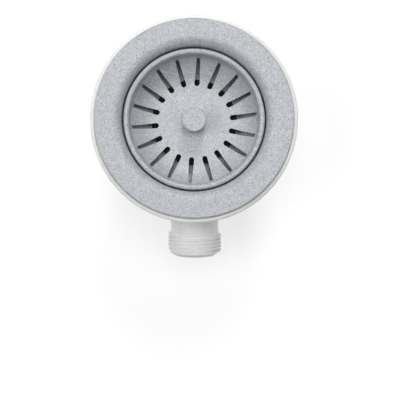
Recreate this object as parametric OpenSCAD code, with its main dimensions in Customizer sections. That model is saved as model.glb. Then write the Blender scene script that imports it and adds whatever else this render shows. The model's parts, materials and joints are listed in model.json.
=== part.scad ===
// Basket strainer waste for a kitchen sink: a stone-effect flange pot with a lift-out
// strainer, clamped by one central screw to a white moulded body that has a threaded
// tail below and a threaded side stub for the overflow hose.
// The origin is the centre of the tail's end face. Z runs up the axis of the waste and
// the side stub points along -Y.

/* [Flange pot] */
// Overall height, from the end of the tail to the top of the flange
total_h = 92; // [90:1:110]
// Outside diameter of the stone-effect flange
flange_d = 114; // [110:1:118]
// Inside diameter of the pot's well
well_d = 83.2; // [81:0.2:84]
// Wall thickness of the flange and the pot
pot_wall = 2.4; // [2:0.1:2.6]
// Radius of the rounded lip between the flange and the well
lip_r = 5.5; // [4.5:0.5:6.5]
// Depth from the top of the flange to the seat that the stopper seal closes on
pot_depth = 28.8; // [28:0.2:32]
// Radius of the rounded corner between the well's wall and its seat
bowl_r = 15; // [13:0.5:15.5]
// Diameter of the drain through the pot's neck
drain_d = 45; // [42:0.5:46]
// Outside diameter of the hub that carries the screw
pot_hub_d = 19; // [18:0.5:21]
// Height of the pot's hub
pot_hub_h = 7; // [6:0.5:9]
// Thickness of the webs that carry the two hubs
web_t = 2.6; // [2:0.1:3.4]
// Number of webs around each hub
web_count = 4; // [3:1:4]

/* [Strainer] */
// Radial gap between the strainer's rim and the well
basket_gap = 0.9; // [0.7:0.1:1.2]
// Width of the strainer's rolled rim
rim_w = 3.1; // [2.8:0.1:3.4]
// Depth from the crest of the rim to the floor of the strainer
basket_depth = 16.3; // [15:0.1:17]
// Height of the steep wall below the rim's bead
rim_wall_h = 6.2; // [5:0.1:7]
// Wall thickness of the strainer
basket_wall = 2.6; // [2.2:0.1:3]
// Radius of the flat floor of the strainer
floor_r = 22; // [20:0.5:23]
// Number of drain slots
slot_count = 18; // [12:1:20]
// Width of a slot at its round inner end
slot_w_in = 3.1; // [2.6:0.1:3.4]
// Width of a slot at its outer end
slot_w_out = 2.0; // [1.6:0.1:2.4]
// Radius at which the slots begin
slot_start_r = 21.2; // [20:0.2:22]
// Turn of the first slot from the back, clockwise seen from above
slot_turn = 4; // [0:1:18]
// Diameter of the lifting knob
knob_d = 14; // [12:0.5:16]
// Height of the knob above the floor of the strainer
knob_h = 13.5; // [12:0.5:15]

/* [Stopper] */
// Overlap of the stopper seal on the edge of the drain
seal_overlap = 2.9; // [2.4:0.1:3.2]
// Height of the stopper seal
seal_h = 5.2; // [4.8:0.1:6]
// Thickness of the seal's web and of its skirt
seal_t = 2.2; // [1.8:0.1:2.4]
// Diameter of the plate that clamps the seal
clamp_plate_d = 30; // [26:1:34]
// Thickness of the clamp plate
clamp_plate_t = 1.5; // [1.2:0.1:2]
// Diameter of the stem's threaded part
stem_d = 6; // [5:0.5:6.5]
// Width across the flats of the stem's nut
stem_nut_af = 10; // [9:0.5:12]
// Height of the stem's nut
stem_nut_h = 3.6; // [3:0.2:4.4]
// Diameter of the stem's plain tip
stem_tip_d = 5.2; // [4.6:0.1:5.4]
// Height of the snap ring on the tip
snap_ring_h = 2.6; // [2:0.2:3]

/* [Clamp screw] */
// Nominal diameter of the central screw
screw_d = 10; // [9:0.5:10.5]
// Diameter of the screw's round head
screw_head_d = 16; // [14:0.5:17]
// Height of the screw's head
screw_head_h = 6; // [5:0.5:7]
// Width across the flats of the socket in the head
socket_af = 8; // [7.5:0.5:9]
// Diameter of the bore that the snap ring slides in
snap_bore_d = 6.4; // [6.2:0.1:6.8]
// Thickness of the washer under the screw's head
screw_washer_t = 1; // [0.8:0.1:1.6]
// Width across the flats of the captive nut
clamp_nut_af = 17; // [16:0.5:18]
// Height of the captive nut
clamp_nut_h = 8; // [6:0.5:9]

/* [Body] */
// Outside diameter of the body's clamping ring
ring_d = 119.5; // [118:0.5:124]
// Thickness of the clamping ring
ring_t = 4.2; // [3.6:0.1:5]
// Radius of the rounded outer edge of the clamping ring
ring_round = 1.3; // [0.8:0.1:1.6]
// Radial gap between the pot's wall and the body's cup
cup_gap = 1.7; // [1.2:0.1:2.4]
// Wall thickness of the body
body_wall = 2.8; // [2.4:0.1:3.2]
// Depth of the cup's straight wall below the flange's top
cup_straight = 38; // [36:0.5:40]
// Height of the water passage between the pot's neck and the tail
passage_h = 15; // [14:0.5:18]
// Number of gussets under the clamping ring
rib_count = 12; // [8:1:16]
// Thickness of a gusset
rib_t = 2; // [1.6:0.1:2.6]
// Height of a gusset
rib_h = 12; // [8:0.5:16]

/* [Tail and stub] */
// Major diameter of the tail's thread
tail_thread_d = 47.8; // [46:0.1:49]
// Diameter of the tail above and below its thread
tail_core_d = 44.9; // [44:0.1:45.4]
// Bore of the tail at its end
tail_bore_d = 40; // [38:0.2:40.6]
// Length of the tail's full bore, measured from its end
tail_mouth = 18; // [12:0.5:20]
// Length of the tail's thread
tail_thread_len = 15; // [11:0.5:16]
// Plain length below the tail's thread
tail_lead = 2.4; // [1.8:0.2:3]
// Major diameter of the stub's thread
stub_thread_d = 33.25; // [32:0.05:34.4]
// Diameter of the stub behind and before its thread
stub_core_d = 30; // [29.4:0.1:30.6]
// Bore of the stub at its end
stub_bore_d = 24.6; // [23:0.2:25.4]
// Length of the stub's thread
stub_thread_len = 12; // [9:0.5:14]
// Plain length beyond the stub's thread
stub_lead = 2; // [1.6:0.2:3]
// Length of the stub's wider bore, measured from its end
stub_mouth = 30; // [20:1:34]
// Slope of the stub below the horizontal, in degrees
stub_slope = 8; // [4:0.5:9]
// Depth of the stub's axis below the flange's top, at the waste's axis
stub_drop = 42; // [40:0.5:44]
// Distance from the waste's axis to the end of the stub, along the stub
stub_reach = 81; // [78:0.5:88]

/* [Gaskets] */
// Thickness of the thin gasket under the flange
flange_gasket_t = 1; // [0.8:0.1:1.6]
// Thickness of the gasket in the body's clamping ring
body_gasket_t = 2; // [1.6:0.1:2.6]
// Depth of the channel that holds the body's gasket
channel_depth = 1.6; // [1:0.1:1.6]
// Width of the land between the cup and the channel
channel_land = 0.8; // [0.6:0.1:2]
// Width of the ring's wall outside the channel
channel_wall = 3.2; // [2.8:0.1:4]

/* [Hidden] */

stone = "#c2c5c8";
white_plastic = "#eeeeec";
rubber = "#202022";
grey_rubber = "#6c6e70";
steel = "#b9bcc0";
brass = "#b5924c";

// Clearances between pieces
seat_gap = 0.3;         // stopper seal above its seat, and pieces that only rest
slide_gap = 0.05;       // snap ring in the screw's bore, and on the stem
bolt_gap = 0.2;         // screws and stems through plain holes
nut_room = 1.8;         // between the stem's nut and the clamp screw's head
hub_room = 5;           // between the pot's hub and the body's hub

// Small steps and edges of the mouldings
edge_round = 0.8;       // rounding on moulded edges
rim_lean = 0.65;        // from the foot of the strainer's wall out to its rolled rim
tail_step = 0.8;        // narrowing of the tail's bore above its mouth
stub_step = 0.5;        // narrowing of the stub's bore behind its mouth
knob_roof = 3.5;        // solid top of the knob above its stem
hub_depth = 8;          // reach of the body's hub below the top of the tail
hub_wall = 2.2;         // wall of the body's hub round the corners of the captive nut
screw_tail = 2;         // end of the clamp screw below the captive nut
gasket_inset = 1.5;     // from the flange's edge in to the thin gasket
gusset_inset = 4;       // from the clamping ring's edge in to its gussets

// Radii
flange_r = flange_d / 2;
well_r = well_d / 2;
pot_outer_r = well_r + pot_wall;
drain_r = drain_d / 2;
neck_outer_r = drain_r + pot_wall;
seat_outer_r = well_r - bowl_r;
basket_r = well_r - basket_gap;
rim_bead_r = rim_w / 2;
rim_foot_in_r = basket_r - rim_w - rim_lean;
seal_r = drain_r + seal_overlap;
ring_r = ring_d / 2;
cup_in_r = pot_outer_r + cup_gap;
cup_out_r = cup_in_r + body_wall;
tail_bore_r = tail_bore_d / 2;
tail_core_r = tail_core_d / 2;
tail_upper_bore_r = tail_bore_r - tail_step;
stub_bore_r = stub_bore_d / 2;
stub_core_r = stub_core_d / 2;
stub_inner_bore_r = stub_bore_r - stub_step;

// Heights, from the flange down
flange_under_z = total_h - pot_wall;
seat_z = total_h - pot_depth;
well_straight_z = seat_z + bowl_r;
basket_under_z = seat_z + seat_gap + seal_h;
floor_z = basket_under_z + basket_wall;
rim_crest_z = floor_z + basket_depth;
rim_bead_z = rim_crest_z - rim_bead_r;
rim_foot_z = rim_bead_z - rim_wall_h;
seal_web_z = basket_under_z - seal_t;
clamp_plate_z = seal_web_z - clamp_plate_t;
stem_nut_z = clamp_plate_z - stem_nut_h;
screw_top_z = stem_nut_z - nut_room;
screw_under_z = screw_top_z - screw_head_h;
pot_hub_top_z = screw_under_z - screw_washer_t;
pot_hub_bottom_z = pot_hub_top_z - pot_hub_h;
flange_gasket_z = flange_under_z - flange_gasket_t;
body_gasket_z = flange_gasket_z - body_gasket_t;
ring_top_z = body_gasket_z + channel_depth;
ring_under_z = ring_top_z - ring_t;
cup_straight_z = total_h - cup_straight;
tail_top_z = pot_hub_bottom_z - passage_h;
body_hub_top_z = pot_hub_bottom_z - hub_room;
body_hub_bottom_z = tail_top_z - hub_depth;

// The clamp screw runs from its head through the captive nut
screw_r = screw_d / 2;
screw_end_z = body_hub_bottom_z - screw_tail;
socket_h = 6;
snap_bore_depth = 10;
clamp_nut_r = clamp_nut_af / 2 / cos(30);
body_hub_r = clamp_nut_r + hub_wall;

// The stem runs from inside the knob into the screw's bore, and a groove holds the snap ring
tip_room = 1.5;
groove_height = 1.4;
groove_depth = 0.55;
stem_r = stem_d / 2;
stem_tip_r = stem_tip_d / 2;
stem_top_z = floor_z + knob_h - knob_roof;
stem_tip_z = screw_top_z - socket_h - snap_bore_depth + tip_room;
snap_ring_z = stem_tip_z + groove_height;
snap_ring_in_r = stem_tip_r - groove_depth;

// The strainer's dish: an arc that is level at the floor and passes through the rim's foot
dish_w = rim_foot_in_r - floor_r;
dish_h = rim_foot_z - floor_z;
dish_r = (dish_w * dish_w + dish_h * dish_h) / (2 * dish_h);
slot_end_r = rim_foot_in_r - 0.3;

$fn = 96;

// One flat ring or disc, given by its radii and its two heights
module ring(r_in, r_out, z_low, z_high) {
    translate([0, 0, z_low])
        difference() {
            cylinder(r = r_out, h = z_high - z_low);
            if (r_in > 0)
                translate([0, 0, -1]) cylinder(r = r_in, h = z_high - z_low + 2);
        }
}

// A hexagonal bar along Z, given by its width across the flats
module hex_bar(af, z_low, z_high) {
    translate([0, 0, z_low]) cylinder(d = af / cos(30), h = z_high - z_low, $fn = 6);
}

// A flat section between two radii and two heights, for turning about Z
module box_section(r_in, r_out, z_low, z_high) {
    translate([r_in, z_low]) square([r_out - r_in, z_high - z_low]);
}

// Copies its children evenly around Z
module around(count, turn = 0) {
    for (i = [0:count - 1]) rotate([0, 0, turn + i * 360 / count]) children();
}

// A round land of a thread's major diameter, chamfered at both ends, from z_low up
module thread_land(r_core, r_major, z_low, length) {
    rise = r_major - r_core;
    translate([0, 0, z_low]) cylinder(r1 = r_core, r2 = r_major, h = rise);
    translate([0, 0, z_low + rise]) cylinder(r = r_major, h = length - 2 * rise);
    translate([0, 0, z_low + length - rise]) cylinder(r1 = r_major, r2 = r_core, h = rise);
}

// The stone-effect flange and pot: flange, rounded lip, well, seat and neck
module pot_section() {
    lip_c = [well_r + lip_r, total_h - lip_r];
    bowl_c = [seat_outer_r, well_straight_z];
    // flat flange with a rounded upper edge
    box_section(lip_c[0], flange_r - edge_round, flange_under_z, total_h);
    box_section(flange_r - edge_round, flange_r, flange_under_z, total_h - edge_round);
    translate([flange_r - edge_round, total_h - edge_round]) circle(r = edge_round);
    // rounded lip
    intersection() {
        translate([well_r, lip_c[1]]) square(lip_r);
        translate(lip_c) difference() {
            circle(r = lip_r);
            circle(r = lip_r - pot_wall);
        }
    }
    // straight wall of the well
    box_section(well_r, pot_outer_r, well_straight_z, lip_c[1]);
    // rounded corner down to the seat
    intersection() {
        translate([seat_outer_r, seat_z - pot_wall]) square(bowl_r + pot_wall);
        translate(bowl_c) difference() {
            circle(r = bowl_r + pot_wall);
            circle(r = bowl_r);
        }
    }
    // seat and neck
    box_section(drain_r, seat_outer_r, seat_z - pot_wall, seat_z);
    box_section(drain_r, neck_outer_r, pot_hub_bottom_z, seat_z - pot_wall);
}

module flange_pot() {
    web_z = pot_hub_bottom_z;
    web_h = pot_hub_h - 1;
    color(stone)
    difference() {
        union() {
            rotate_extrude() pot_section();
            ring(0, pot_hub_d / 2, pot_hub_bottom_z, pot_hub_top_z);
            around(web_count, 45)
                translate([0, -web_t / 2, web_z]) cube([drain_r + pot_wall / 2, web_t, web_h]);
        }
        translate([0, 0, pot_hub_bottom_z - 1]) cylinder(r = screw_r + bolt_gap, h = pot_hub_h + 2);
    }
}

// The strainer: rolled rim, steep wall, round dish and flat floor
module basket_section() {
    bead_x = basket_r - rim_bead_r;
    outer_foot_r = rim_foot_in_r + basket_wall;
    // rolled rim
    translate([bead_x, rim_bead_z]) circle(r = rim_bead_r);
    // steep wall with a thicker collar under the rim
    polygon([
        [rim_foot_in_r, rim_foot_z],
        [outer_foot_r, rim_foot_z],
        [outer_foot_r, rim_bead_z - 3.6],
        [bead_x + 0.8 * rim_bead_r, rim_bead_z - 2.4],
        [bead_x + 0.8 * rim_bead_r, rim_bead_z],
        [bead_x - 0.8 * rim_bead_r, rim_bead_z]]);
    // dish, a round band between the floor and the foot of the wall
    intersection() {
        translate([floor_r, basket_under_z])
            square([outer_foot_r - floor_r, rim_foot_z - basket_under_z]);
        translate([floor_r, floor_z + dish_r]) difference() {
            circle(r = dish_r + basket_wall);
            circle(r = dish_r);
        }
    }
    // flat floor
    box_section(0, floor_r, basket_under_z, floor_z);
}

// One drain slot seen from above: a round inner end that narrows outwards
module slot_outline() {
    half_in = slot_w_in / 2;
    half_out = slot_w_out / 2;
    centre_r = slot_start_r + half_in;
    translate([centre_r, 0]) circle(r = half_in, $fn = 32);
    polygon([[centre_r, -half_in], [slot_end_r, -half_out], [slot_end_r, half_out],
        [centre_r, half_in]]);
}

module basket() {
    color(stone)
    difference() {
        rotate_extrude() basket_section();
        translate([0, 0, basket_under_z - 1])
            around(slot_count, 90 - slot_turn)
                linear_extrude(rim_foot_z - basket_under_z + 2) slot_outline();
        translate([0, 0, basket_under_z - 1]) cylinder(r = stem_r + bolt_gap, h = basket_wall + 2);
    }
}

// Lifting knob: a slight draft, a rounded top edge and a blind hole for the stem
module knob() {
    knob_r = knob_d / 2;
    draft = 0.5;
    top_z = floor_z + knob_h;
    color(stone)
    difference() {
        rotate_extrude() {
            polygon([[0, floor_z], [knob_r - draft, floor_z], [knob_r, top_z - edge_round],
                [0, top_z - edge_round]]);
            box_section(0, knob_r - edge_round, top_z - edge_round, top_z);
            translate([knob_r - edge_round, top_z - edge_round]) circle(r = edge_round);
        }
        translate([0, 0, floor_z - 1]) cylinder(r = stem_r, h = stem_top_z - floor_z + 1);
    }
}

// Stem: threaded part from the knob to the nut, then a plain tip with a groove and a blunt nose
module stem() {
    nose = 1;
    thread_end_z = stem_nut_z - 0.6;
    groove_low_z = snap_ring_z - slide_gap;
    groove_high_z = snap_ring_z + snap_ring_h + slide_gap;
    groove_r = snap_ring_in_r - slide_gap;
    color(steel)
    rotate_extrude()
        polygon([[0, stem_tip_z], [stem_tip_r - nose, stem_tip_z], [stem_tip_r, stem_tip_z + nose],
            [stem_tip_r, groove_low_z], [groove_r, groove_low_z], [groove_r, groove_high_z],
            [stem_tip_r, groove_high_z], [stem_tip_r, thread_end_z], [stem_r, thread_end_z + 0.4],
            [stem_r, stem_top_z], [0, stem_top_z]]);
}

// Rubber stopper: a flat web under the floor with a skirt that closes on the seat
module stopper_seal() {
    skirt_in_r = seal_r - seal_t;
    lip_z = seat_z + seat_gap;
    hole_r = stem_r + bolt_gap;
    color(rubber)
    rotate_extrude()
        polygon([[hole_r, seal_web_z], [skirt_in_r - 1.2, seal_web_z], [skirt_in_r, lip_z],
            [seal_r - 0.8, lip_z], [seal_r, lip_z + 0.8], [seal_r, basket_under_z],
            [hole_r, basket_under_z]]);
}

module clamp_plate() {
    color(steel) ring(stem_r + bolt_gap, clamp_plate_d / 2, clamp_plate_z, seal_web_z);
}

module stem_nut() {
    color(steel)
    difference() {
        intersection() {
            hex_bar(stem_nut_af, stem_nut_z, clamp_plate_z);
            // lower corners chamfered as on a turned nut
            translate([0, 0, stem_nut_z])
                cylinder(r1 = stem_nut_af / 2 * 1.02, r2 = stem_nut_af / 2 + stem_nut_h, h = stem_nut_h);
        }
        translate([0, 0, stem_nut_z - 1]) cylinder(r = stem_r, h = stem_nut_h + 2);
    }
}

// Split spring ring that rides in the stem's groove and grips the screw's bore
module snap_ring() {
    split_w = 1;
    color(brass)
    difference() {
        ring(snap_ring_in_r, snap_bore_d / 2 - slide_gap, snap_ring_z, snap_ring_z + snap_ring_h);
        translate([0, -split_w / 2, snap_ring_z - 1]) cube([snap_bore_d, split_w, snap_ring_h + 2]);
    }
}

module screw_washer() {
    color(grey_rubber)
        ring(screw_r + bolt_gap, pot_hub_d / 2 - 0.5, pot_hub_top_z, screw_under_z);
}

// Hollow-headed clamp screw: hexagon socket, then the bore for the snap ring
module centre_screw() {
    chamfer = 1;
    head_r = screw_head_d / 2;
    color(steel)
    difference() {
        rotate_extrude() {
            polygon([[0, screw_end_z], [screw_r - chamfer, screw_end_z], [screw_r, screw_end_z + chamfer],
                [screw_r, screw_under_z], [head_r, screw_under_z], [head_r, screw_top_z - chamfer],
                [head_r - chamfer, screw_top_z], [0, screw_top_z]]);
        }
        hex_bar(socket_af, screw_top_z - socket_h, screw_top_z + 1);
        translate([0, 0, screw_top_z - socket_h - snap_bore_depth])
            cylinder(d = snap_bore_d, h = snap_bore_depth + 1);
    }
}

module captive_nut() {
    color(brass)
    difference() {
        hex_bar(clamp_nut_af, body_hub_bottom_z, body_hub_bottom_z + clamp_nut_h);
        translate([0, 0, body_hub_bottom_z - 1]) cylinder(r = screw_r, h = clamp_nut_h + 2);
    }
}

module flange_gasket() {
    color(grey_rubber)
        ring(well_r + lip_r + seat_gap, flange_r - gasket_inset, flange_gasket_z, flange_under_z);
}

// Gasket of the clamping ring, which sits in a shallow channel
channel_in_r = cup_in_r + channel_land;
channel_out_r = ring_r - channel_wall;

module body_gasket() {
    color(rubber)
        ring(channel_in_r, channel_out_r, body_gasket_z, body_gasket_z + body_gasket_t);
}

// Places its children on the stub's axis, with Z running out of the stub's end
module on_stub() {
    translate([0, 0, total_h - stub_drop]) rotate([90 + stub_slope, 0, 0]) children();
}

// Outside of the body: clamping ring, cup, funnel and tail
module body_outline() {
    tail_chamfer = 1.2;
    box_section(0, ring_r - ring_round, ring_under_z, ring_top_z);
    box_section(0, ring_r, ring_under_z + ring_round, ring_top_z - ring_round);
    translate([ring_r - ring_round, ring_top_z - ring_round]) circle(r = ring_round);
    translate([ring_r - ring_round, ring_under_z + ring_round]) circle(r = ring_round);
    polygon([[0, 0], [tail_core_r - tail_chamfer, 0], [tail_core_r, tail_chamfer],
        [tail_core_r, tail_top_z - 2.4], [cup_out_r, cup_straight_z - 1.2],
        [cup_out_r, ring_under_z + 1], [0, ring_under_z + 1]]);
}

// Inside of the body: gasket channel, cup, funnel and tail
module body_hollow() {
    box_section(channel_in_r, channel_out_r, body_gasket_z, ring_top_z + 1);
    polygon([[0, tail_top_z], [tail_upper_bore_r, tail_top_z], [cup_in_r, cup_straight_z],
        [cup_in_r, ring_top_z + 1], [0, ring_top_z + 1]]);
}

// A triangular gusset between the clamping ring and the cup
module gusset() {
    gusset_r = ring_r - gusset_inset;
    root_r = cup_out_r - 1;
    rotate([90, 0, 0])
        linear_extrude(rib_t, center = true)
            polygon([[root_r, ring_under_z + 1], [root_r, ring_under_z - rib_h],
                [cup_out_r, ring_under_z - rib_h], [gusset_r, ring_under_z - 1],
                [gusset_r, ring_under_z + 1]]);
}

// Outside of the stub, from inside the cup to its chamfered and threaded end
module stub_outside() {
    chamfer = 1.4;
    on_stub() {
        translate([0, 0, tail_core_r]) cylinder(r = stub_core_r, h = stub_reach - chamfer - tail_core_r);
        translate([0, 0, stub_reach - chamfer])
            cylinder(r1 = stub_core_r, r2 = stub_core_r - chamfer, h = chamfer);
        thread_land(stub_core_r, stub_thread_d / 2, stub_reach - stub_lead - stub_thread_len,
            stub_thread_len);
    }
}

// Bore of the stub, with a slightly narrower stretch where it opens into the cup
module stub_hollow() {
    on_stub() {
        translate([0, 0, stub_reach - stub_mouth]) cylinder(r = stub_bore_r, h = stub_mouth + 1);
        translate([0, 0, tail_bore_r])
            cylinder(r = stub_inner_bore_r, h = stub_reach - stub_mouth - tail_bore_r + 1);
    }
}

// Hub for the captive nut, carried in the top of the tail on webs
module body_hub() {
    web_z = body_hub_bottom_z;
    web_h = tail_top_z - 1 - web_z;
    ring(0, body_hub_r, body_hub_bottom_z, body_hub_top_z);
    around(web_count, 45)
        translate([0, -web_t / 2, web_z]) cube([tail_upper_bore_r + 1, web_t, web_h]);
}

module body() {
    color(white_plastic)
    difference() {
        union() {
            difference() {
                union() {
                    rotate_extrude() body_outline();
                    around(rib_count, 180 / rib_count) gusset();
                    thread_land(tail_core_r, tail_thread_d / 2, tail_lead, tail_thread_len);
                    stub_outside();
                }
                rotate_extrude() body_hollow();
                translate([0, 0, -1]) cylinder(r = tail_bore_r, h = tail_mouth + 1);
                cylinder(r = tail_upper_bore_r, h = tail_top_z + 1);
                stub_hollow();
            }
            body_hub();
        }
        translate([0, 0, body_hub_bottom_z - 1])
            cylinder(r = screw_r + bolt_gap, h = body_hub_top_z - body_hub_bottom_z + 2);
        hex_bar(clamp_nut_af, body_hub_bottom_z - 1, body_hub_bottom_z + clamp_nut_h);
    }
}

basket();
knob();
stem();
stopper_seal();
clamp_plate();
stem_nut();
snap_ring();
flange_pot();
flange_gasket();
screw_washer();
centre_screw();
captive_nut();
body_gasket();
body();
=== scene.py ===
"""Looks for the sink basket strainer waste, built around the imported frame."""
import json
import math

import bmesh
import bpy
from mathutils import Matrix, Vector


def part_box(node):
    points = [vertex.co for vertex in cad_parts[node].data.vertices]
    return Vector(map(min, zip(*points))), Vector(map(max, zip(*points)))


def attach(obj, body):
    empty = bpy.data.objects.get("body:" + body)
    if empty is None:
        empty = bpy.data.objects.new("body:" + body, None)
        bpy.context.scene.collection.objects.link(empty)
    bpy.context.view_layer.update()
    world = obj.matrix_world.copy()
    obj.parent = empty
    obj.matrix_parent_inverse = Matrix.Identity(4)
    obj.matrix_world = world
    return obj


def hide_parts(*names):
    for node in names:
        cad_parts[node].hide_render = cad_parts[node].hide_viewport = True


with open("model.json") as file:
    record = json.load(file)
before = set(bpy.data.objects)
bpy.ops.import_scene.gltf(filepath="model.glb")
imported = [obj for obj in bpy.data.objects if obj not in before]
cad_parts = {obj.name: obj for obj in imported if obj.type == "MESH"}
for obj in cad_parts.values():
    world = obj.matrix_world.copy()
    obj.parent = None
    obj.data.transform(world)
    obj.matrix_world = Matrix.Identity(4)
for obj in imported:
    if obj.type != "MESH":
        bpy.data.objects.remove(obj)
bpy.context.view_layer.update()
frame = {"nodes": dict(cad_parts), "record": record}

MM = 0.001
TAU = 2 * math.pi
NODES = frame["nodes"]

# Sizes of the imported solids: the stub's axis crosses the waste's own at STUB_DROP below the flange's top
FLANGE_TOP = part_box("flange_pot")[1][2]
STUB_SLOPE = math.radians(8)
STUB_DROP = 42 * MM
STUB_REACH = 81 * MM
TAIL_THREAD_TOP = 20 * MM

# Pipe threads: core and major radius, then start and length along the axis that the thread is made on
PITCH = 2.309 * MM
STUB_THREAD = dict(core=15 * MM, major=16.625 * MM, low=STUB_REACH - 14 * MM, length=13 * MM)
TAIL_THREAD = dict(core=22.45 * MM, major=23.9 * MM, low=2.6 * MM, length=15 * MM)

# A thread's sleeve: columns round it, rows to a pitch, and how far it stands off the core and reaches into it
SLEEVE_COLUMNS = 144
SLEEVE_ROWS = 14
SLEEVE_STAND_OFF = 0.04 * MM
SLEEVE_DEPTH = 0.5 * MM

# A tooth's half crest and its flank, as shares of the pitch
CREST_HALF = 0.17
FLANK = 0.25

# Where the tooth fades in and out, in turns from either end, and its height along the parting line
FADE_IN_FROM = 0.1
FADE_IN_OVER = 0.5
FADE_OUT_FROM = 0.05
FADE_OUT_OVER = 0.25
SEAM_HEIGHT = 0.82

# The cone at the entry end, which the tooth stays under
ENTRY_SLOPE = 1.2
ENTRY_STEP = 0.2 * MM

# Points closer than WELD are one point, and a land's edges lie within LAND_SLACK of its sizes
WELD = 1e-7
LAND_SLACK = 1e-5
SHARP_ANGLE = 35


# Node helpers

def new_material(name):
    m = bpy.data.materials.new(name)
    m.use_nodes = True
    return m, m.node_tree.nodes, m.node_tree.links, m.node_tree.nodes["Principled BSDF"]


def add(nodes, kind, **values):
    n = nodes.new(kind)
    for key, value in values.items():
        if key in n.inputs:
            n.inputs[key].default_value = value
        else:
            setattr(n, key, value)
    return n


def ramp(nodes, stops):
    n = nodes.new("ShaderNodeValToRGB")
    e = n.color_ramp.elements
    while len(e) < len(stops):
        e.new(0.5)
    for i, (pos, value) in enumerate(stops):
        e[i].position = pos
        e[i].color = (value, value, value, 1) if isinstance(value, (int, float)) else (*value, 1)
    return n


def mix(nodes, links, factor, a, b):
    n = nodes.new("ShaderNodeMix")
    n.data_type = "RGBA"
    for socket, value in ((n.inputs[0], factor), (n.inputs[6], a), (n.inputs[7], b)):
        if hasattr(value, "is_linked"):
            links.new(value, socket)
        elif isinstance(value, (int, float)):
            socket.default_value = value
        else:
            socket.default_value = (*value, 1)
    return n.outputs[2]


def bump(nodes, links, bsdf, height, distance, strength):
    b = nodes.new("ShaderNodeBump")
    b.inputs["Strength"].default_value = strength
    b.inputs["Distance"].default_value = distance
    links.new(height, b.inputs["Height"])
    links.new(b.outputs["Normal"], bsdf.inputs["Normal"])


def object_coords(nodes):
    return nodes.new("ShaderNodeTexCoord").outputs["Object"]


# Materials

# Stone-effect coat: its base, and the two ends of its clouds and its grains with their places on the noise
STONE_BASE = (0.470, 0.486, 0.516)
STONE_CLOUDS = ((0.35, (0.350, 0.366, 0.394)), (0.65, (0.585, 0.601, 0.634)))
STONE_GRAINS = ((0.38, (0.250, 0.265, 0.292)), (0.62, (0.685, 0.701, 0.735)))
# Each kind of speck: cells to a metre, full and no cover from its centre, shift, share kept, colour
STONE_SPECKS = (
    (900, 0.2, 0.34, 0.31, 0.2, (0.72, 0.73, 0.74)),
    (1150, 0.16, 0.27, 0.17, 0.25, (0.20, 0.195, 0.19)),
    (720, 0.14, 0.22, 0.53, 0.28, (0.08, 0.07, 0.06)),
)


def stone_material():
    """Light grey stone-effect coat: soft clouds, pale grains and sparse dark specks."""
    m, nodes, links, bsdf = new_material("stone_effect")
    co = object_coords(nodes)

    def noise(scale, detail=2.0, rough=0.5):
        n = add(nodes, "ShaderNodeTexNoise", Scale=scale, Detail=detail, Roughness=rough)
        links.new(co, n.inputs["Vector"])
        return n.outputs["Fac"]

    def layer(fac, stops):
        n = ramp(nodes, stops)
        links.new(fac, n.inputs[0])
        return n.outputs[0]

    def specks(scale, low, high, shift, keep):
        """Round specks, of which the share keep is left by the random colour of each cell."""
        moved = add(nodes, "ShaderNodeVectorMath", operation="ADD")
        links.new(co, moved.inputs[0])
        moved.inputs[1].default_value = (shift, shift * 0.7, shift * 1.3)
        v = add(nodes, "ShaderNodeTexVoronoi", Scale=scale, Randomness=1.0)
        links.new(moved.outputs[0], v.inputs["Vector"])
        cell = nodes.new("ShaderNodeSeparateColor")
        links.new(v.outputs["Color"], cell.inputs[0])
        both = add(nodes, "ShaderNodeMath", operation="MULTIPLY")
        links.new(layer(v.outputs["Distance"], [(low, 1.0), (high, 0.0)]), both.inputs[0])
        links.new(layer(cell.outputs[0], [(keep - 0.01, 1.0), (keep, 0.0)]), both.inputs[1])
        return both.outputs[0]

    colour = mix(nodes, links, 0.6, STONE_BASE, layer(noise(420, 4, 0.6), STONE_CLOUDS))
    colour = mix(nodes, links, 0.45, colour, layer(noise(1600, 3, 0.6), STONE_GRAINS))
    for *form, tone in STONE_SPECKS:
        colour = mix(nodes, links, specks(*form), colour, tone)
    links.new(colour, bsdf.inputs["Base Color"])
    links.new(layer(noise(900, 2), [(0.3, 0.34), (0.7, 0.48)]), bsdf.inputs["Roughness"])
    bump(nodes, links, bsdf, noise(2400, 3), 0.03 * MM, 0.35)
    return m


def plastic_material():
    """White moulded plastic with a faint satin unevenness."""
    m, nodes, links, bsdf = new_material("white_plastic")
    co = object_coords(nodes)
    n = add(nodes, "ShaderNodeTexNoise", Scale=60, Detail=3)
    links.new(co, n.inputs["Vector"])
    tone = ramp(nodes, [(0.2, (0.872, 0.872, 0.866)), (0.8, (0.892, 0.892, 0.888))])
    links.new(n.outputs["Fac"], tone.inputs[0])
    links.new(tone.outputs[0], bsdf.inputs["Base Color"])
    rough = ramp(nodes, [(0.2, 0.28), (0.8, 0.31)])
    links.new(n.outputs["Fac"], rough.inputs[0])
    links.new(rough.outputs[0], bsdf.inputs["Roughness"])
    bsdf.inputs["Specular IOR Level"].default_value = 0.35
    fine = add(nodes, "ShaderNodeTexNoise", Scale=900, Detail=2)
    links.new(co, fine.inputs["Vector"])
    bump(nodes, links, bsdf, fine.outputs["Fac"], 0.02 * MM, 0.2)
    return m


def rubber_material(name, tone, sheen):
    """Matt rubber with a slight unevenness, where sheen is the strength of its reflections."""
    m, nodes, links, bsdf = new_material(name)
    co = object_coords(nodes)
    n = add(nodes, "ShaderNodeTexNoise", Scale=700, Detail=4)
    links.new(co, n.inputs["Vector"])
    shade = ramp(nodes, [(0.3, tone * 0.8), (0.7, tone * 1.25)])
    links.new(n.outputs["Fac"], shade.inputs[0])
    links.new(shade.outputs[0], bsdf.inputs["Base Color"])
    bsdf.inputs["Roughness"].default_value = 0.62
    bsdf.inputs["Specular IOR Level"].default_value = sheen
    bump(nodes, links, bsdf, n.outputs["Fac"], 0.04 * MM, 0.4)
    return m


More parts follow.
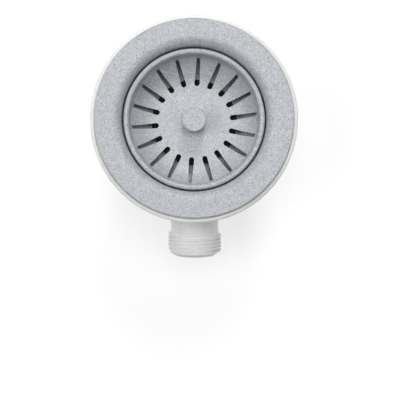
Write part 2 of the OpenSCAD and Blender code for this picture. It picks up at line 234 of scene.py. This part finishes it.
def turned_metal(name, low, high, roughness):
    """Turned metal: fine rings round the Z axis, with a slightly uneven colour."""
    m, nodes, links, bsdf = new_material(name)
    co = object_coords(nodes)
    n = add(nodes, "ShaderNodeTexNoise", Scale=300, Detail=3)
    links.new(co, n.inputs["Vector"])
    tone = ramp(nodes, [(0.3, low), (0.7, high)])
    links.new(n.outputs["Fac"], tone.inputs[0])
    links.new(tone.outputs[0], bsdf.inputs["Base Color"])
    bsdf.inputs["Metallic"].default_value = 1.0
    rough = ramp(nodes, [(0.3, roughness - 0.05), (0.7, roughness + 0.07)])
    links.new(n.outputs["Fac"], rough.inputs[0])
    links.new(rough.outputs[0], bsdf.inputs["Roughness"])
    wave = add(nodes, "ShaderNodeTexWave", wave_type="RINGS", rings_direction="Z",
               Scale=900, Distortion=0.6)
    links.new(co, wave.inputs["Vector"])
    bump(nodes, links, bsdf, wave.outputs["Fac"], 0.02 * MM, 0.25)
    return m


MATERIALS = {
    "stone": stone_material(),
    "white_plastic": plastic_material(),
    "black_rubber": rubber_material("black_rubber", 0.004, 0.1),
    "grey_rubber": rubber_material("grey_rubber", 0.15, 0.4),
    "steel": turned_metal("turned_steel", (0.52, 0.53, 0.55), (0.66, 0.67, 0.69), 0.26),
    "brass": turned_metal("turned_brass", (0.56, 0.40, 0.17), (0.70, 0.52, 0.25), 0.30),
}
SLOTS = {p["node"]: p["material_slot"] for p in frame["record"]["subparts"]}


def dress(obj, slot):
    obj.data.materials.clear()
    obj.data.materials.append(MATERIALS[slot])


for node_name, node_obj in NODES.items():
    if not node_obj.material_slots:
        node_obj.data.materials.append(None)
    for node_slot in node_obj.material_slots:
        node_slot.material = MATERIALS[SLOTS[node_name]]


# Threads

def smoothstep(x):
    x = min(1.0, max(0.0, x))
    return x * x * (3 - 2 * x)


def tooth(phase):
    """Height of a moulded thread's tooth, 0 to 1, at -0.5 to 0.5 of the pitch from its crest."""
    return 1 - smoothstep((abs(phase) - CREST_HALF) / FLANK)


def thread_sleeve(r_core, r_major, r_inside, length):
    """A closed sleeve round Z whose outside is a right-hand thread from z = 0 to length.
    The tooth fades in and out at its ends, stays under a cone at the entry end, and is a little lower
    along the mould's parting line, above and below."""
    turns = length / PITCH
    rows = round(turns * SLEEVE_ROWS)
    bm = bmesh.new()

    def radius(angle, z):
        u = z / PITCH - angle / TAU
        k = round(u)
        along = k + angle / TAU
        fade_in = smoothstep((along - FADE_IN_FROM) / FADE_IN_OVER)
        fade_out = smoothstep((turns - FADE_OUT_FROM - along) / FADE_OUT_OVER)
        on_seam = abs(abs(math.sin(angle)) - 1) < 1e-6
        height = tooth(u - k) * fade_in * fade_out * (SEAM_HEIGHT if on_seam else 1.0)
        return r_core + min((r_major - r_core) * height, (length - z) * ENTRY_SLOPE + ENTRY_STEP)

    def loop(r_of, z):
        return [bm.verts.new((r_of(a) * math.cos(a), r_of(a) * math.sin(a), z))
                for a in (TAU * i / SLEEVE_COLUMNS for i in range(SLEEVE_COLUMNS))]

    loops = [loop(lambda a: r_inside, 0.0), loop(lambda a: r_core, 0.0)]
    for j in range(1, rows):
        z = length * j / rows
        loops.append(loop(lambda a, z=z: radius(a, z), z))
    loops += [loop(lambda a: r_core, length), loop(lambda a: r_inside, length)]
    loops.append(loops[0])
    for low, high in zip(loops, loops[1:]):
        for i in range(SLEEVE_COLUMNS):
            j = (i + 1) % SLEEVE_COLUMNS
            bm.faces.new((low[i], low[j], high[j], high[i]))
    return bm


def copy_of(node, name):
    src = NODES[node]
    mesh = src.data.copy()
    mesh.name = name
    obj = bpy.data.objects.new(name, mesh)
    bpy.context.scene.collection.objects.link(obj)
    obj.matrix_world = src.matrix_world.copy()
    return obj


def pull_in(bm, place, r_core, low, high):
    """Brings the plain land between low and high, on the axis of place, down to the core."""
    back = place.inverted()
    for v in bm.verts:
        p = back @ v.co
        r = math.hypot(p.x, p.y)
        if low - LAND_SLACK < p.z < high + LAND_SLACK and r > r_core + LAND_SLACK:
            v.co = place @ Vector((p.x * r_core / r, p.y * r_core / r, p.z))


def bake_modifiers(obj):
    deps = bpy.context.evaluated_depsgraph_get()
    mesh = bpy.data.meshes.new_from_object(obj.evaluated_get(deps))
    obj.modifiers.clear()
    obj.data = mesh


def apply_union(obj, others):
    for other in others:
        mod = obj.modifiers.new("join", "BOOLEAN")
        mod.operation = "UNION"
        mod.solver = "EXACT"
        mod.object = other
    bake_modifiers(obj)
    for other in others:
        bpy.data.objects.remove(other, do_unlink=True)


def object_from(bm, name):
    bmesh.ops.recalc_face_normals(bm, faces=bm.faces)
    mesh = bpy.data.meshes.new(name)
    bm.to_mesh(mesh)
    bm.free()
    obj = bpy.data.objects.new(name, mesh)
    bpy.context.scene.collection.objects.link(obj)
    return obj


def smooth(obj):
    """Smooth shading up to an angle, where large faces count for more than a union's slivers."""
    obj.data.polygons.foreach_set("use_smooth", [True] * len(obj.data.polygons))
    obj.data.set_sharp_from_angle(angle=math.radians(SHARP_ANGLE))
    mod = obj.modifiers.new("even", "WEIGHTED_NORMAL")
    mod.mode = "FACE_AREA_WITH_ANGLE"
    mod.keep_sharp = True
    bake_modifiers(obj)


def threaded(node, name, threads):
    """A copy of a node whose plain lands are cut down to their cores, each with its helical thread.
    Each thread comes with the place of the axis that it is made on."""
    obj = copy_of(node, name)
    bm = bmesh.new()
    bm.from_mesh(obj.data)
    bmesh.ops.remove_doubles(bm, verts=bm.verts, dist=WELD)
    for place, t in threads:
        pull_in(bm, place, t["core"], t["low"], t["low"] + t["length"])
    bmesh.ops.remove_doubles(bm, verts=bm.verts, dist=WELD)
    bmesh.ops.dissolve_degenerate(bm, dist=WELD, edges=bm.edges)
    bm.to_mesh(obj.data)
    bm.free()
    sleeves = []
    for place, t in threads:
        sleeve = thread_sleeve(t["core"] + SLEEVE_STAND_OFF, t["major"], t["core"] - SLEEVE_DEPTH,
                               t["length"])
        for v in sleeve.verts:
            v.co = place @ (v.co + Vector((0, 0, t["low"])))
        sleeves.append(object_from(sleeve, "sleeve"))
    apply_union(obj, sleeves)
    smooth(obj)
    return obj


def axis_at(height, tilt):
    """A place on the waste's axis whose own Z leans by tilt from straight up toward the stub."""
    return Matrix.Translation((0, 0, height)) @ Matrix.Rotation(tilt, 4, "X")


stub_axis = axis_at(FLANGE_TOP - STUB_DROP, math.pi / 2 + STUB_SLOPE)
tail_axis = axis_at(TAIL_THREAD_TOP, math.pi)
body = threaded("body", "moulded_body", [(stub_axis, STUB_THREAD), (tail_axis, TAIL_THREAD)])
dress(body, "white_plastic")
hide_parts("body")
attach(body, "waste")


# Floor, light and camera

# The floor: its half size in metres, its tone to light that bounces, and its tone and glow where it is seen
FLOOR_HALF = 3.0
FLOOR_BOUNCE = 0.8
FLOOR_TONE = 0.48
FLOOR_GLOW = 0.61


def floor_material():
    """White to the camera and in reflections, pale to the light, with the object's shadow kept."""
    m, nodes, links, bsdf = new_material("floor_white")
    bsdf.inputs["Base Color"].default_value = (FLOOR_BOUNCE, FLOOR_BOUNCE, FLOOR_BOUNCE, 1)
    bsdf.inputs["Roughness"].default_value = 0.9
    soft = add(nodes, "ShaderNodeBsdfDiffuse", Color=(FLOOR_TONE, FLOOR_TONE, FLOOR_TONE, 1))
    glow = add(nodes, "ShaderNodeEmission", Color=(1, 1, 1, 1), Strength=FLOOR_GLOW)
    seen = nodes.new("ShaderNodeAddShader")
    links.new(soft.outputs[0], seen.inputs[0])
    links.new(glow.outputs[0], seen.inputs[1])
    path = nodes.new("ShaderNodeLightPath")
    rays = path.outputs["Is Camera Ray"]
    for kind in ("Is Glossy Ray", "Is Transmission Ray"):
        either = add(nodes, "ShaderNodeMath", operation="MAXIMUM")
        links.new(rays, either.inputs[0])
        links.new(path.outputs[kind], either.inputs[1])
        rays = either.outputs[0]
    choice = nodes.new("ShaderNodeMixShader")
    links.new(rays, choice.inputs[0])
    links.new(bsdf.outputs[0], choice.inputs[1])
    links.new(seen.outputs[0], choice.inputs[2])
    links.new(choice.outputs[0], nodes["Material Output"].inputs["Surface"])
    return m


def add_floor():
    mesh = bpy.data.meshes.new("floor")
    s = FLOOR_HALF
    mesh.from_pydata([(-s, -s, 0), (s, -s, 0), (s, s, 0), (-s, s, 0)], [], [(0, 1, 2, 3)])
    obj = bpy.data.objects.new("floor", mesh)
    bpy.context.scene.collection.objects.link(obj)
    obj.data.materials.append(floor_material())


def add_area(name, place, target, size, power):
    """A white round lamp at place that faces target."""
    data = bpy.data.lights.new(name, "AREA")
    data.shape = "DISK"
    data.size = size
    data.energy = power
    obj = bpy.data.objects.new(name, data)
    bpy.context.scene.collection.objects.link(obj)
    obj.location = place
    obj.rotation_euler = (target - place).to_track_quat("-Z", "Y").to_euler()


def add_world(strength):
    """A faint even light from all round, which the camera sees as white."""
    world = bpy.data.worlds.new("studio")
    bpy.context.scene.world = world
    world.use_nodes = True
    nodes = world.node_tree.nodes
    links = world.node_tree.links
    faint = nodes["Background"]
    faint.inputs["Color"].default_value = (1, 1, 1, 1)
    faint.inputs["Strength"].default_value = strength
    white = add(nodes, "ShaderNodeBackground", Color=(1, 1, 1, 1), Strength=1.0)
    path = nodes.new("ShaderNodeLightPath")
    choice = nodes.new("ShaderNodeMixShader")
    links.new(path.outputs["Is Camera Ray"], choice.inputs[0])
    links.new(faint.outputs[0], choice.inputs[1])
    links.new(white.outputs[0], choice.inputs[2])
    links.new(choice.outputs[0], nodes["World Output"].inputs["Surface"])


WORLD_STRENGTH = 0.12
FLANGE_CENTRE = Vector((0, 0, FLANGE_TOP))
LIGHT_DISTANCE = 2.0
# Each light: bearing from +Y toward +X and height in degrees, size in metres, power in watts
STUDIO = {
    "key": (8, 42, 0.6, 13.0),
    "top": (0, 80, 1.0, 12.5),
    "east": (90, 58, 1.2, 6.5),
    "west": (-90, 52, 1.2, 13.0),
}

add_floor()
add_world(WORLD_STRENGTH)
for light_name, (bearing, height, size, power) in STUDIO.items():
    turn = math.radians(bearing)
    lift = math.radians(height)
    way = Vector((math.sin(turn) * math.cos(lift), math.cos(turn) * math.cos(lift), math.sin(lift)))
    add_area(light_name, FLANGE_CENTRE + way * LIGHT_DISTANCE, FLANGE_CENTRE, size, power)

# The camera looks straight down, and its focal length is given in pixels of a picture this wide
CAMERA_X = 3.4 * MM
CAMERA_Y = -46.5 * MM
CAMERA_HEIGHT = 450 * MM
SENSOR_WIDTH = 36
FOCAL_PIXELS = 793
PICTURE_PIXELS = 400

camera = bpy.data.objects.new("camera", bpy.data.cameras.new("camera"))
bpy.context.scene.collection.objects.link(camera)
camera.location = (CAMERA_X, CAMERA_Y, FLANGE_TOP + CAMERA_HEIGHT)
camera.data.sensor_width = SENSOR_WIDTH
camera.data.lens = SENSOR_WIDTH * FOCAL_PIXELS / PICTURE_PIXELS
camera.data.clip_start = 10 * MM
bpy.context.scene.camera = camera

bpy.context.scene.view_settings.view_transform = "Standard"
